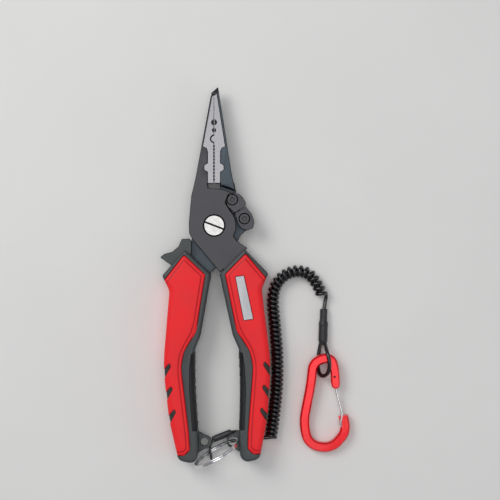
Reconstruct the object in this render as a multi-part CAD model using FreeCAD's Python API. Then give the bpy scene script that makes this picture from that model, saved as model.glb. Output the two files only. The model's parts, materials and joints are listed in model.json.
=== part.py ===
"""Fishing pliers with a coiled lanyard and carabiner, lying flat, as separate solids.

Millimetres. The jaws point along +Y, the front face looks up along +Z, and z = 0 is the floor.
Everything is drawn about the jaw pivot; export() then moves it all so that the middle of the
pliers' footprint is the origin. "Front" and "rear" name the two halves of the lap joint: the
front half carries the left jaw and the right handle, the rear half the right jaw and left handle.
"""
import FreeCAD, Part
import math
import os

V = FreeCAD.Vector
Z_AXIS = V(0, 0, 1)

# ---- driving dimensions -------------------------------------------------------------------
HANDLE_THICK = 15.0                     # floor to the top of the grips
MID_Z = HANDLE_THICK / 2                # lap joint plane
HEAD_THICK = 9.0
HEAD_BACK = MID_Z - HEAD_THICK / 2
HEAD_FRONT = MID_Z + HEAD_THICK / 2
GAP = 0.3                               # between pieces that move past each other
FRONT_PLATE_BACK = MID_Z + GAP / 2
REAR_PLATE_FRONT = MID_Z - GAP / 2

JAW_TIP_Y = 66.3                        # from the pivot to the jaw tips
JAW_MOUTH_Y = 21.6                      # where the biting edges end, near the pivot
BITE_X = -0.1                           # plane where the jaws meet
TIP_THICK = 3.8
SHOULDER_R = 18.7                       # head plate shoulder, concentric with the pivot
JAW_UNDER_R = 20.7                      # underside of each jaw root, swings over the shoulder
HUB_R = 11.0                            # plate edge the lower cutter swings round
CUTTER_R = 20.35                        # outside of both cutter blocks
SEAM_ANGLE = 31.0                       # line where the cutter blocks meet

HANDLE_TILT = 1.2                       # both handles sit turned this far about the pivot
RIM_DROP = 0.6                          # the hard rim stands this much below the soft grip
GRIP_SKIN = 2.2                         # thickness of the soft jacket, front and back
GRIP_WALL = 2.5                         # thickness of the soft jacket, outer edge
HEEL_LIFT = 2.8                         # the heel's underside is relieved for the cord
EYE = (7.3, -109.9)                     # lanyard eye, in the untilted handle
EYE_R = 2.0
EYE_THICK = 3.0

PIVOT_SHANK_R = 3.0
PIVOT_HEAD_R = 5.05
TURNING_FIT = 0.06

CORD_R = 1.0
COIL_R = 3.3
THIN_CORD_R = 0.6

ORIGIN_SHIFT = V(-0.65, 26.0, 0)         # pivot to the middle of the footprint


# ---- drawing helpers ----------------------------------------------------------------------
def polar(radius, degrees):
    """A point on a circle about the pivot."""
    return (radius * math.cos(math.radians(degrees)), radius * math.sin(math.radians(degrees)))


def swing_corner(radius, start, end):
    """An outline corner whose rounding is exactly the arc about the pivot from start to end."""
    reach = radius / math.cos(math.radians(abs(end - start) / 2))
    x, y = polar(reach, (start + end) / 2)
    return (x, y, radius)


def rounded_edges(points, closed):
    """Straight runs joined by tangent arcs. A point is a Vector and a corner radius."""
    count = len(points)
    cuts = []
    for i, (corner, radius) in enumerate(points):
        if radius <= 0 or (not closed and i in (0, count - 1)):
            cuts.append((corner, None, corner))
            continue
        back = (points[i - 1][0] - corner).normalize()
        ahead = (points[(i + 1) % count][0] - corner).normalize()
        half = back.getAngle(ahead) / 2
        reach = radius / math.tan(half)
        start = corner + back * reach
        end = corner + ahead * reach
        bisector = (back + ahead).normalize()
        middle = corner + bisector * (radius / math.sin(half) - radius)
        cuts.append((start, middle, end))
    edges = []
    for i in range(count):
        start, middle, end = cuts[i]
        if middle is not None:
            edges.append(Part.Arc(start, middle, end).toShape())
        if i == count - 1 and not closed:
            break
        following = cuts[(i + 1) % count][0]
        if (following - end).Length > 1e-4:
            edges.append(Part.LineSegment(end, following).toShape())
    return edges


def outline(points, z=0.0):
    """A closed outline from (x, y) or (x, y, corner radius)."""
    corners = [(V(p[0], p[1], z), p[2] if len(p) > 2 else 0.0) for p in points]
    return Part.Wire(rounded_edges(corners, True))


def plate(points, bottom, top):
    """An outline made solid between two heights."""
    return Part.Face(outline(points, bottom)).extrude(V(0, 0, top - bottom))


def disc(centre, radius, bottom, top):
    return Part.makeCylinder(radius, top - bottom, V(centre[0], centre[1], bottom), Z_AXIS)


def side_wedge(profile, half_width=80.0):
    """A solid of the given (y, z) profile, running right across in x."""
    face = Part.Face(Part.makePolygon([V(-half_width, y, z) for y, z in profile + profile[:1]]))
    return face.extrude(V(2 * half_width, 0, 0))


def turned(shape, degrees, centre=(0.0, 0.0)):
    moved = shape.copy()
    moved.rotate(V(centre[0], centre[1], 0), Z_AXIS, degrees)
    return moved


def mirrored(shape):
    return shape.mirror(V(0, 0, 0), V(1, 0, 0))


def eased(solid, radius, level):
    """Rounds the outline edges of a plate at one height."""
    rims = [e for e in solid.Edges if abs(e.BoundBox.ZMin - level) + abs(e.BoundBox.ZMax - level) < 1e-3]
    return solid.makeFillet(radius, rims)


def route(points):
    """A cord's centreline: each bend's radius is 0.45 of the shorter run over tan(half turn)."""
    vectors = [V(*p) for p in points]
    corners = [(vectors[0], 0.0)]
    for before, here, after in zip(vectors, vectors[1:], vectors[2:]):
        run = min((here - before).Length, (after - here).Length)
        turn = (here - before).getAngle(after - here)
        corners.append((here, 0.45 * run / math.tan(turn / 2)))
    corners.append((vectors[-1], 0.0))
    return Part.Wire(rounded_edges(corners, False))


def tube(points, radius):
    """A round cord along its route."""
    path = route(points)
    start = V(*points[0])
    heading = V(*points[1]) - start
    section = Part.Wire(Part.Circle(start, heading, radius).toShape())
    return path.makePipeShell([section], True, True)


def spring(centre, mean_radius, wire_radius, bottom, turns):
    """A close-wound coil on a vertical axis."""
    pitch = 2.15 * wire_radius
    path = Part.makeHelix(pitch, pitch * turns, mean_radius)
    section = Part.Wire(Part.Circle(V(mean_radius, 0, 0), V(0, 1, 0), wire_radius).toShape())
    coil = Part.Wire(path).makePipeShell([section], True, True)
    coil.translate(V(centre[0], centre[1], bottom + wire_radius))
    return coil


# ---- head: two lapped halves --------------------------------------------------------------
def jaw_wedge(proud=0.0):
    """The head's thickness: level round the pivot, thinning to the jaw tips."""
    tip = TIP_THICK / 2 + proud
    root = HEAD_THICK / 2 + proud
    return side_wedge([
        (-70, MID_Z - root), (JAW_MOUTH_Y, MID_Z - root), (JAW_TIP_Y + 6, MID_Z - tip),
        (JAW_TIP_Y + 6, MID_Z + tip), (JAW_MOUTH_Y, MID_Z + root), (-70, MID_Z + root),
    ])


INSERT_BACK = MID_Z - 1.3               # the inserts are let in from the front to this depth
TOOTH_PITCH = 1.7
SERRATION_PITCH = 0.9


def mouth_cuts():
    """Round notches across the biting line: two crimp holes and a row of holding teeth."""
    places = [(52.4, 1.5), (48.4, 1.05)] + [(23.3 + i * TOOTH_PITCH, 0.5) for i in range(11)]
    cuts = [disc((BITE_X, y), radius, 0, HANDLE_THICK) for y, radius in places]
    return cuts[0].multiFuse(cuts[1:])


def serrated_edge(x):
    """The fine zigzag near the tip, as outline points from the tip inwards."""
    points = []
    for i in range(10):
        y = JAW_TIP_Y - 1.0 - i * SERRATION_PITCH
        points.append((x + 0.12, y))
        points.append((x - 0.12, y - SERRATION_PITCH / 2))
    return points


def insert_outline(side, tip):
    """Jaw insert outline: waisted below, with a round lobe that keys it into the jaw."""
    bite = BITE_X + side * (GAP / 2 + 0.03)
    return [tip] + [
        (BITE_X + side * 5.6, 40.1, 0.4),
        (BITE_X + side * 3.8, 39.4, 0.8),
        (BITE_X + side * 3.1, 37.4, 1.0),
        (BITE_X + side * 3.1, 31.6, 0.4),
        (BITE_X + side * 4.9, 30.6, 0.9),
        (BITE_X + side * 4.9, 28.2, 0.9),
        (BITE_X + side * 3.1, 27.2, 0.4),
        (BITE_X + side * 3.1, JAW_MOUTH_Y),
        (bite, JAW_MOUTH_Y),
    ] + serrated_edge(bite)[::-1] + [(bite, JAW_TIP_Y - 0.4)]


def crimp_boss(radius):
    """The rounded crimping boss on the right insert, pushed towards the left one."""
    return disc((BITE_X + GAP / 2, 44.0), radius, INSERT_BACK, HEAD_FRONT + 1)


def front_insert_blank():
    return plate(insert_outline(-1, (BITE_X - 0.95, JAW_TIP_Y - 0.5)), INSERT_BACK, HEAD_FRONT + 1)


def rear_insert_blank():
    return plate(insert_outline(1, (BITE_X + 1.25, JAW_TIP_Y + 0.9)), INSERT_BACK, HEAD_FRONT + 1)


def front_jaw_insert():
    blank = front_insert_blank().cut(crimp_boss(2.2)).cut(mouth_cuts())
    return blank.common(jaw_wedge(0.12))


def rear_jaw_insert():
    blank = rear_insert_blank().fuse(crimp_boss(1.6)).cut(mouth_cuts())
    return blank.removeSplitter().common(jaw_wedge(0.12))


TANG = [(14.3, -11.8), (4.0, -21.6), (4.9, -24.6), (9.0, -50.0), (13.0, -58.0, 2.0), (17.0, -58.0, 2.0),
        (18.6, -34.0), (21.6, -25.2), (15.4, -14.6)]
RIVETS = [(11.5, -33.0), (13.8, -49.0)]
RIVET_R = 1.6


def front_hub():
    """Front head plate: from the left jaw's root, past the pivot, to the right tang."""
    return plate([
        (-3.4, 20.6), (-9.9, 22.0), (-11.6, 15.0), (-12.9, 1.0, 25), (-12.7, -4.0, 1.0),
        (-10.9, -7.1, 0.8), (2.9, -23.7), (15.6, -12.3), (17.6, -11.6, 0.6), (13.4, -9.4, 2.0),
        (11.2, -7.4, 1.5), polar(HUB_R, -29), swing_corner(HUB_R, -29, 42), polar(HUB_R, 42),
        (5.5, 11.6, 1.6), (7.1, 15.7, 1.0), polar(SHOULDER_R, 62),
        swing_corner(SHOULDER_R, 62, 93), polar(SHOULDER_R, 93), (-3.2, 19.0, 0.8),
    ], FRONT_PLATE_BACK, HEAD_FRONT)


def cutter_ledge():
    """Thin step of the front half that the upper cutter block is screwed to."""
    seam = polar(11.2, SEAM_ANGLE + 1.2)
    return plate([
        seam, (5.2, 9.0), (4.6, 12.0), (6.9, 15.8, 1.0), (10.0, 17.0, 2.0), (13.0, 15.6, 2.0),
        (15.7, 12.1, 1.5), polar(18.6, SEAM_ANGLE + 0.7),
    ], FRONT_PLATE_BACK, CUTTER_LEDGE_Z)


CUTTER_LEDGE_Z = 9.3
CUTTER_TOP_Z = HEAD_FRONT + 0.2
CUTTER_SCREWS = {"upper": (9.2, 13.1), "lower": (15.3, 3.5)}


def pivot_pocket(bottom, top):
    """Ring-shaped pocket for the return spring."""
    return disc((0, 0), 8.6, bottom, top).cut(disc((0, 0), 6.0, bottom, top))


def front_jaw_arm():
    jaw = plate([
        (BITE_X - 0.3, JAW_TIP_Y), (-1.75, JAW_TIP_Y, 0.3), (-9.3, 25.0, 6), (-11.7, 14.5),
        (-3.4, 14.5), (-3.4, JAW_MOUTH_Y), (BITE_X - 0.3, JAW_MOUTH_Y),
    ], HEAD_BACK, HEAD_FRONT)
    jaw = jaw.cut(disc((0, 0), JAW_UNDER_R, HEAD_BACK - 1, FRONT_PLATE_BACK))
    tang = turned(plate(TANG, FRONT_PLATE_BACK, HEAD_FRONT), HANDLE_TILT)
    arm = jaw.multiFuse([front_hub(), cutter_ledge(), tang]).common(jaw_wedge())
    cuts = [
        front_insert_blank(),
        disc((BITE_X, 44.0), 2.2, INSERT_BACK - GAP, HANDLE_THICK),
        disc((0, 0), PIVOT_SHANK_R, 0, HANDLE_THICK),
        disc((0, 0), PIVOT_HEAD_R + 0.4, HEAD_FRONT - 2.0, HANDLE_THICK),
        pivot_pocket(FRONT_PLATE_BACK, FRONT_PLATE_BACK + 1.3),
        disc(CUTTER_SCREWS["upper"], 1.25, 0, HANDLE_THICK),
    ]
    cuts += [turned(disc(p, RIVET_R, 0, HANDLE_THICK), HANDLE_TILT) for p in RIVETS]
    return arm.cut(cuts[0].multiFuse(cuts[1:])).removeSplitter()


def rear_hub():
    """Rear head plate: from the right jaw's root, past the pivot, to the left tang."""
    seam_inner = polar(11.6, SEAM_ANGLE - 1.0)
    return plate([
        (3.2, 22.0), (3.0, 18.0, 0.8), (-3.0, 18.0, 4.0), (-9.6, 12.0, 4.0), (-11.6, 2.0, 8.0),
        (-11.6, -7.0, 2.0), (-14.2, -14.0), (-2.4, -24.4), (0.6, -21.2, 0.8), (7.5, -12.0, 3.0),
        (12.1, -7.3, 0.5), (13.2, -5.0, 0.6), (15.3, -3.0, 0.5), (17.0, -2.0, 1.0),
        (19.8, -0.8, 1.5), (20.1, 2.4, 1.5), (18.6, 5.6, 1.5), polar(18.5, SEAM_ANGLE - 0.7),
        seam_inner, (12.3, 10.0, 2.0), (10.7, 18.2), (9.8, 22.0),
    ], HEAD_BACK, REAR_PLATE_FRONT)


def rear_jaw_arm():
    inner = BITE_X + 0.3
    jaw = plate([
        (1.9, JAW_TIP_Y + 4.2, 0.2), (-1.6, JAW_TIP_Y + 1.1, 0.2), (-1.5, JAW_TIP_Y + 0.35),
        (inner, JAW_TIP_Y + 0.35), (inner, JAW_MOUTH_Y), (3.2, JAW_MOUTH_Y), (3.2, 16.0),
        (11.0, 16.0), (8.6, 27.4, 4.0),
    ], HEAD_BACK, HEAD_FRONT)
    jaw = jaw.cut(disc((0, 0), JAW_UNDER_R, REAR_PLATE_FRONT, HANDLE_THICK))
    tang = turned(mirrored(plate(TANG, HEAD_BACK, REAR_PLATE_FRONT)), HANDLE_TILT)
    arm = jaw.multiFuse([rear_hub(), tang]).common(jaw_wedge())
    cuts = [
        rear_insert_blank(),
        crimp_boss(1.6),
        disc((0, 0), PIVOT_SHANK_R + TURNING_FIT, 0, HANDLE_THICK),
        disc((0, 0), NUT_R + 0.4, 0, NUT_FRONT + GAP),
        pivot_pocket(REAR_PLATE_FRONT - 1.2, REAR_PLATE_FRONT),
        disc(CUTTER_SCREWS["lower"], 1.25, 0, HANDLE_THICK),
        disc(LOCK_PIN, LOCK_PIN_R, 0, HANDLE_THICK),
    ]
    cuts += [turned(mirrored(disc(p, RIVET_R, 0, HANDLE_THICK)), HANDLE_TILT) for p in RIVETS]
    return arm.cut(cuts[0].multiFuse(cuts[1:])).removeSplitter()


# ---- pivot ----------------------------------------------------------------------------------
NUT_R = 4.7
NUT_FRONT = HEAD_BACK + 2.0


def pivot_screw():
    head = disc((0, 0), PIVOT_HEAD_R, HEAD_FRONT - 2.0, HEAD_FRONT + 0.35)
    shank = disc((0, 0), PIVOT_SHANK_R, HEAD_BACK + 0.2, HEAD_FRONT - 1.5)
    slot = Part.makeBox(12, 0.8, 2, V(-6, -0.4, HEAD_FRONT - 0.6))
    return head.fuse(shank).removeSplitter().cut(turned(slot, -21))


def pivot_nut():
    nut = disc((0, 0), NUT_R, HEAD_BACK + 0.1, NUT_FRONT)
    nut = nut.cut(disc((0, 0), PIVOT_SHANK_R, 0, HANDLE_THICK))
    for side in (-1, 1):
        nut = nut.cut(disc((side * 3.85, 0), 0.45, 0, HEAD_BACK + 1.2))
    return nut


def return_spring():
    return spring((0, 0), 7.3, 0.5, REAR_PLATE_FRONT - 1.15, 1.0)


# ---- side cutters -----------------------------------------------------------------------------
def cutter_block(points, bottom, screw):
    """A hardened block with a counterbored screw hole."""
    block = plate(points, bottom, CUTTER_TOP_Z).common(disc((0, 0), CUTTER_R, 0, HANDLE_THICK))
    block = block.cut(disc(screw, 1.25, 0, HANDLE_THICK))
    return block.cut(disc(screw, 2.75, CUTTER_TOP_Z - 1.9, HANDLE_THICK))


def cutter_block_upper():
    return cutter_block([
        polar(12.1, SEAM_ANGLE + 0.8), (6.8, 9.7, 1.5), (5.9, 12.4, 1.5), (7.5, 15.6, 1.5),
        (10.4, 16.7, 2.5), (13.4, 15.8, 2.5), (15.9, 12.0, 2.0), polar(18.7, SEAM_ANGLE + 0.5),
    ], CUTTER_LEDGE_Z, CUTTER_SCREWS["upper"])


def cutter_block_lower():
    return cutter_block([
        polar(12.1, SEAM_ANGLE - 0.8), polar(18.7, SEAM_ANGLE - 0.5), (19.1, 5.6, 2.5),
        (20.5, 1.8, 2.0), (19.6, -1.4, 1.5), (16.4, -2.4, 1.5), (13.7, -1.6, 1.5),
        (12.1, 1.0, 2.0),
    ], REAR_PLATE_FRONT, CUTTER_SCREWS["lower"])


def cutter_screw(centre, bottom):
    head = disc(centre, 2.45, CUTTER_TOP_Z - 1.9, CUTTER_TOP_Z - 0.1)
    shank = disc(centre, 1.25, bottom, CUTTER_TOP_Z - 1.2)
    corners = [(centre[0] + 1.25 * math.cos(math.radians(60 * i + 10)),
                centre[1] + 1.25 * math.sin(math.radians(60 * i + 10))) for i in range(6)]
    socket = plate(corners, CUTTER_TOP_Z - 1.1, HANDLE_THICK)
    return head.fuse(shank).removeSplitter().cut(socket)


# ---- handles, drawn as the right one and untilted -------------------------------------------
HANDLE = [
    (15.0, -12.0, 0.8),                 # apex beside the head
    (26.9, -24.8, 1.2),                 # outer shoulder
    (23.4, -32.6, 6.0),                 # waist
    (27.4, -71.0, 90.0),                # swell in the palm
    (24.9, -98.0, 60.0),
    (20.6, -118.6, 4.0),                # heel
    (11.0, -120.7, 4.0),
    (10.3, -110.0, 20.0),
    (11.6, -80.0, 90.0),
    (11.2, -62.8, 3.0),                 # knee where the grip widens
    (8.2, -55.6, 8.0),
    (2.2, -24.6, 1.5),                  # inner shoulder under the head
]
PANEL = [
    (15.6, -14.4, 1.0), (5.0, -24.8, 1.5), (10.2, -53.4, 8.0), (16.6, -63.6, 6.0),
    (18.2, -71.5, 12.0), (14.9, -105.0, 30.0), (14.6, -113.2, 2.5), (17.5, -116.0, 3.0),
    (40.0, -115.2), (40.0, -44.9),
]
PAD = [
    (9.0, -62.6), (12.9, -64.8), (13.9, -71.5, 4.0), (14.2, -84.0, 30.0), (13.1, -103.5),
    (6.0, -103.5), (6.0, -66.0),
]
PAD_NICKS = [(10.9, -76.0), (10.6, -89.2)]
BADGE = [(10.1, -26.0, 0.2), (14.6, -25.5, 0.2), (18.9, -47.7, 0.2), (13.9, -48.3, 0.2)]
BADGE_BACK = HANDLE_THICK - 0.6
SLOT_BOTTOM = REAR_PLATE_FRONT
SLOT_TOP = 11.9


def heel_relief():
    """The space under both handle ends that the lanyard cord passes through."""
    return side_wedge([(-97, -1), (-97, 0), (-104, HEEL_LIFT), (-140, HEEL_LIFT), (-140, -1)])


def handle_body(bottom, top, ease):
    solid = plate(HANDLE, bottom, top)
    solid = eased(eased(solid, ease, bottom), ease, top)
    return solid.cut(heel_relief())


def grip_region():
    return plate(PANEL, -1, HANDLE_THICK + 1)


def core_filler():
    """The part of the hard core that lies under the soft jacket."""
    low, high = GRIP_SKIN, HANDLE_THICK - GRIP_SKIN
    full = plate(HANDLE, low, high)
    upper = full.common(Part.makeBox(60, 40, 30, V(0, -27.5, 0)))
    inner = full.copy()
    inner.translate(V(-GRIP_WALL, 0, 0))
    filler = inner.common(full).fuse(upper)
    return filler.removeSplitter().cut(heel_relief())


def inlay_cutter(index):
    """One slanting tooth-shaped inlay at the outer edge; index 0 is the highest."""
    shape = plate([(24.1, -68.8, 0.5), (23.3, -70.9, 0.5), (29.0, -80.8), (29.0, -75.2)],
                  -1, HANDLE_THICK + 1)
    shape.translate(V(-0.35 * index * (1 + index), -11.6 * index, 0))
    return shape


def grip_inlays():
    """Three dark inlays, let into the jacket and 0.3 mm below its surface."""
    skin = handle_body(0.3, HANDLE_THICK - 0.3, 3.0)
    skin.translate(V(-0.3, 0, 0))
    skin = skin.cut(core_filler())
    return [skin.common(inlay_cutter(i)).common(grip_region()) for i in range(3)]


def inner_pad():
    """Soft lining of the handle's inner side, well rounded, with two shallow finger nicks."""
    pad = handle_body(RIM_DROP, HANDLE_THICK - RIM_DROP, 3.0).common(plate(PAD, 0, HANDLE_THICK))
    for nick in PAD_NICKS:
        pad = pad.cut(disc(nick, 1.1, 0, HANDLE_THICK))
    return pad


def grip_jacket():
    jacket = handle_body(0, HANDLE_THICK, 3.0).common(grip_region()).cut(core_filler())
    return jacket.cut(inlay_cutter(0).multiFuse([inlay_cutter(1), inlay_cutter(2)]))


def eye_lug(hole_radius):
    """The ear at the foot of the handle that the ring or a lanyard passes through."""
    low, high = MID_Z - EYE_THICK / 2, MID_Z + EYE_THICK / 2
    ear = plate([(EYE[0], EYE[1] + 3.5), (12.0, -103.4), (12.0, -116.2), (EYE[0], EYE[1] - 3.5)],
                low, high)
    ear = ear.fuse(disc(EYE, 3.5, low, high)).removeSplitter()
    return ear, disc(EYE, hole_radius, 0, HANDLE_THICK)


def handle_core(hole_radius):
    """Hard core: the rim seen round the grip, the filler under it, and the ear."""
    rim = handle_body(RIM_DROP, HANDLE_THICK - RIM_DROP, 1.6).cut(grip_region())
    under = core_filler().common(grip_region())
    ear, hole = eye_lug(hole_radius)
    core = rim.multiFuse([under, ear]).removeSplitter()
    cuts = [hole, plate(PAD, 0, HANDLE_THICK)]
    cuts += [disc(p, RIVET_R, 0, HANDLE_THICK) for p in RIVETS]
    return core.cut(cuts[0].multiFuse(cuts[1:]))


def tang_rivets():
    return [disc(p, RIVET_R, GRIP_SKIN, HANDLE_THICK - GRIP_SKIN) for p in RIVETS]


def place_right(shape):
    return turned(shape, HANDLE_TILT)


def place_left(shape):
    return turned(mirrored(shape), HANDLE_TILT)


def right_handle(arm):
    """The handle moulded over the front half's tang."""
    badge = plate(BADGE, BADGE_BACK, HANDLE_THICK + 0.3)
    return {
        "right_handle_core": place_right(handle_core(EYE_R + 0.5)).cut(arm),
        "right_grip_jacket": place_right(grip_jacket().cut(badge)),
        "right_grip_inlays": Part.makeCompound([place_right(s) for s in grip_inlays()]),
        "right_inner_pad": place_right(inner_pad()),
        "right_badge": place_right(badge),
        "right_tang_rivets": Part.makeCompound([place_right(s) for s in tang_rivets()]),
    }


# ---- lock lever, on the left handle -----------------------------------------------------------
LOCK_PIN = (-15.9, -20.5)
LOCK_PIN_R = 1.5
LEVER_BOTTOM = SLOT_BOTTOM + 0.45
LEVER_TOP = SLOT_TOP - 0.3


def left_handle(arm):
    """The handle moulded over the rear half's tang, with a slot for the lock lever."""
    core = place_left(handle_core(EYE_R)).cut(arm)
    slot = plate([(-11.0, 0.0), (-40.0, 0.0), (-40.0, -21.0), (-21.0, -26.0), (-11.0, -26.0)],
                 SLOT_BOTTOM, SLOT_TOP)
    core = core.cut(slot).cut(disc(LOCK_PIN, LOCK_PIN_R, 0, HANDLE_THICK))
    return {
        "left_handle_core": core,
        "left_grip_jacket": place_left(grip_jacket()),
        "left_grip_inlays": Part.makeCompound([place_left(s) for s in grip_inlays()]),
        "left_inner_pad": place_left(inner_pad()),
        "left_tang_rivets": Part.makeCompound([place_left(s) for s in tang_rivets()]),
    }


def lock_lever():
    """Catch beside the head plate's corner, with a horn for the thumb."""
    lever = plate([
        (-16.4, -6.7, 0.8), (-12.5, -6.7, 0.8), (-11.5, -8.3, 0.4), (-11.6, -13.0, 0.8),
        (-12.6, -23.2, 2.2), (-18.6, -23.6, 2.2), (-22.2, -19.9), (-27.5, -16.1, 0.5),
        (-25.3, -14.4, 0.6), (-21.3, -13.3, 1.0), (-18.2, -10.7, 1.0),
    ], LEVER_BOTTOM, LEVER_TOP)
    lever = lever.cut(disc(LOCK_PIN, LOCK_PIN_R + TURNING_FIT, 0, HANDLE_THICK))
    return lever.cut(disc(LOCK_PIN, 3.1, LEVER_TOP - 1.6, HANDLE_THICK))


def lock_pin():
    return disc(LOCK_PIN, LOCK_PIN_R, HEAD_BACK, HANDLE_THICK - GRIP_SKIN)


def lock_spring():
    """Two close turns of wire round the lever's pin."""
    turns = [Part.makeTorus(2.35, 0.33, V(*LOCK_PIN, LEVER_TOP - 0.97 + 0.62 * i)) for i in (0, 1)]
    return turns[0].fuse(turns[1])


# ---- split ring, standing on edge in the right ear --------------------------------------------
RING_MEAN_R = 12.0
RING_WIRE_R = 0.5
RING_CENTRE_Z = RING_MEAN_R + RING_WIRE_R + 1.6
RING_HEADING = 213.5                    # direction from the ear to the ring's far side
RING_LEAN = 7.0


def ring_frame():
    """Centre of the split ring and the direction of its axle line."""
    ear = turned(Part.Vertex(EYE[0], EYE[1], MID_Z), HANDLE_TILT).Point
    heading = V(*polar(1.0, RING_HEADING), 0)
    reach = math.sqrt(RING_MEAN_R ** 2 - (RING_CENTRE_Z - MID_Z) ** 2)
    centre = ear + heading * reach
    centre.z = RING_CENTRE_Z
    level_axis = Z_AXIS.cross(heading)
    lean = FreeCAD.Rotation(ear - centre, RING_LEAN)
    return centre, lean.multVec(level_axis)


def split_ring():
    """Two touching turns of round wire."""
    centre, axis = ring_frame()
    turns = []
    for side in (-1, 1):
        place = centre + axis * (side * RING_WIRE_R * 0.96)
        turns.append(Part.makeTorus(RING_MEAN_R, RING_WIRE_R, place, axis))
    return turns[0].fuse(turns[1])


# ---- lanyard ------------------------------------------------------------------------------------
COIL_Z = COIL_R + 0.05
COIL_ROUTE = [
    (28.9, -108.6, COIL_Z), (31.9, -88.5, COIL_Z), (32.5, -68.5, COIL_Z), (30.9, -50.5, COIL_Z),
    (29.3, -35.0, COIL_Z), (33.6, -26.2, COIL_Z), (42.4, -22.4, COIL_Z), (51.0, -25.6, COIL_Z),
    (55.0, -35.4, COIL_Z),
]
SLEEVE_Z = 2.4
SLEEVE_TOP = (56.0, -42.6, SLEEVE_Z)
SLEEVE_STEP = (55.9, -49.0, SLEEVE_Z)
SLEEVE_END = (55.5, -61.2, SLEEVE_Z)
TAIL_UPPER_ROUTE = [(55.0, -35.4, COIL_Z), (55.9, -39.2, 2.8), (56.0, -43.4, SLEEVE_Z)]
CLIP_LOOP_ROUTE = [
    (56.5, -60.2, 2.9), (57.1, -63.3, 7.2), (58.4, -67.4, 9.6), (58.7, -73.2, 8.7),
    (56.9, -77.0, 5.0), (54.0, -76.8, 3.2), (52.9, -72.6, 1.4), (53.1, -67.2, 1.1),
    (54.4, -60.2, 1.9),
]
RING_SLEEVE_LEFT = (-1.3, -109.9, 2.4)
RING_SLEEVE_RIGHT = (8.6, -105.8, 2.4)
TAIL_LOWER_ROUTE = [
    (7.8, -106.1, 2.4), (12.4, -105.4, 1.4), (17.8, -107.2, 1.05), (23.6, -109.2, 1.05),
    (28.6, -108.0, 1.7),
]
RING_LOOP_ROUTE = [
    (2.6, -108.3, 1.8), (-0.2, -109.6, 1.7), (-2.4, -112.2, 1.0), (-2.2, -115.9, 0.66),
    (-1.7, -119.6, 0.66), (-1.7, -119.6, 4.5), (-2.2, -115.9, 4.2), (-2.4, -112.2, 3.8),
    (-0.2, -109.6, 3.15), (2.6, -108.3, 3.05),
]


def straight_round(start, end, radius):
    axis = V(*end) - V(*start)
    return Part.makeCylinder(radius, axis.Length, V(*start), axis)


def clip_sleeve():
    """Heat-shrunk sleeve over the crimp, thinner above its step."""
    lower = straight_round(SLEEVE_STEP, SLEEVE_END, 2.3)
    upper = straight_round(SLEEVE_TOP, SLEEVE_STEP, 1.85)
    return lower.fuse(upper).removeSplitter()


def ferrule(start, end, radius, inset=2.0):
    """A short crimped metal sleeve hidden inside the shrunk one."""
    line = V(*end) - V(*start)
    unit = V(*end).sub(V(*start)).normalize()
    first = V(*start) + unit * inset
    return Part.makeCylinder(radius, line.Length - 2 * inset, first, line)


# ---- carabiner, leaning on the cord that passes under its top ----------------------------------
CARABINER_THICK = 4.6
CARABINER_WIDTH = 4.8
CARABINER_REST_Y = -116.4               # the line where its foot touches the floor
CARABINER_LEAN = 3.2
GATE_PIN = (61.3, -76.8)
GATE_WIRE_R = 0.55
GATE_HOOK_X = 64.2                      # the gate's cross bar, behind the nose
GATE_HOOK_Y = -101.2
CARABINER_PATH = [
    (61.9, -81.0), (61.6, -74.6), (59.6, -66.6), (50.4, -69.2), (49.4, -80.2), (45.5, -100.4),
    (48.0, -112.0), (60.0, -114.0), (67.4, -105.4), (65.9, -97.0),
]


def bar_section(origin, width, thick, chamfer):
    """The bar's chamfered cross-section, square to a path that starts along +Y."""
    side, face = width / 2, thick / 2
    corners = []
    for a, b in ((1, 1), (-1, 1), (-1, -1), (1, -1)):
        ends = [(a * side, b * (face - chamfer)), (a * (side - chamfer), b * face)]
        corners += ends if a == b else ends[::-1]
    points = [V(origin[0] + across, origin[1], up) for across, up in corners]
    return Part.makePolygon(points + points[:1])


def lean_on_cord(shape):
    """Lifts the carabiner's top end about its foot and sets it on the floor."""
    moved = shape.copy()
    moved.translate(V(0, 0, CARABINER_THICK / 2 + 0.02))
    moved.rotate(V(0, CARABINER_REST_Y, 0), V(1, 0, 0), CARABINER_LEAN)
    return moved


def carabiner_flat():
    path = route([(x, y, 0) for x, y in CARABINER_PATH])
    section = bar_section(CARABINER_PATH[0], CARABINER_WIDTH, CARABINER_THICK, 0.9)
    bar = path.makePipeShell([section], True, False)
    half = CARABINER_THICK / 2 - 0.05
    end = disc(CARABINER_PATH[0], CARABINER_WIDTH / 2 - 0.05, -half, half)
    rims = [edge for edge in end.Edges if edge.isClosed()]
    return bar.fuse(end.makeChamfer(0.9, rims))


def gate_strand(side):
    """One of the gate wire's two legs, from the pin to the hook of the nose."""
    return [(GATE_PIN[0], GATE_PIN[1] - 1.0, side * 0.72), (62.2, -84.0, side * 0.77),
            (65.4, -96.0, side * 1.95), (GATE_HOOK_X, GATE_HOOK_Y, side * 1.85)]


def carabiner_body():
    body = carabiner_flat()
    slot = plate([(57.0, -73.6), (57.0, -90.0), (66.0, -90.0), (66.0, -73.6)], -1.65, 1.65)
    nose_side = [(60.0, -90.0), (60.0, -103.2), (66.6, -103.2), (67.2, -90.0)]
    nose = plate(nose_side, 0.9, 5.0)
    nose_back = plate(nose_side, -5.0, -0.9)
    seat = plate([(60.0, -99.7), (60.0, -103.2), (65.3, -103.2), (65.3, -99.7)], -5.0, 5.0)
    pin_hole = disc(GATE_PIN, 0.6, -5, 5)
    body = body.cut(slot.multiFuse([nose, nose_back, seat, pin_hole]))
    return lean_on_cord(body)


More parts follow.
